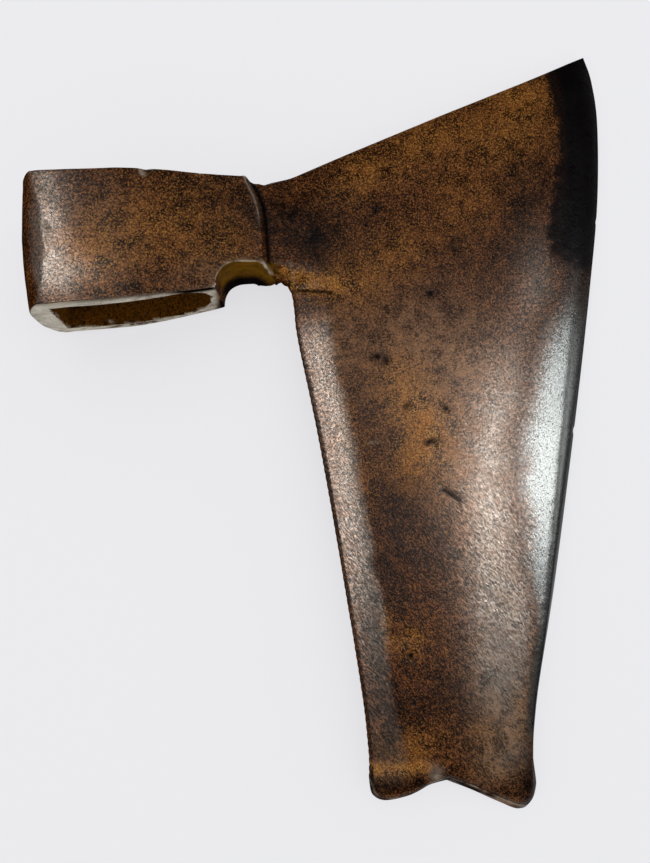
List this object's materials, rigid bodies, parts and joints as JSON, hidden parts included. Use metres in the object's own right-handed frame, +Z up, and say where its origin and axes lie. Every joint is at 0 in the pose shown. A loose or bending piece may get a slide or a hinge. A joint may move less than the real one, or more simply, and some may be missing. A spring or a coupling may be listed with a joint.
{
  "type": "bearded axe head",
  "caption": "Forged bearded axe head with a box socket, an open eye, a notched neck, a long flaring beard with a fishtail end and one straight ground edge; it lies on its side.",
  "frame": {"origin": "middle of the footprint, on the surface that the head lies on", "axes": "+X from the poll towards the cutting edge, +Y from the beard's end up to the edge's upper tip, +Z up through the head's thickness as it lies"},
  "size_m": [0.2286, 0.3024, 0.0463],
  "materials": {
    "wrought_iron": "dark brown rust patina, waxed, worn to bare dark iron along the edge"
  },
  "bodies": {
    "root": {"axe_head": "wrought_iron"}
  },
  "joints": []
}
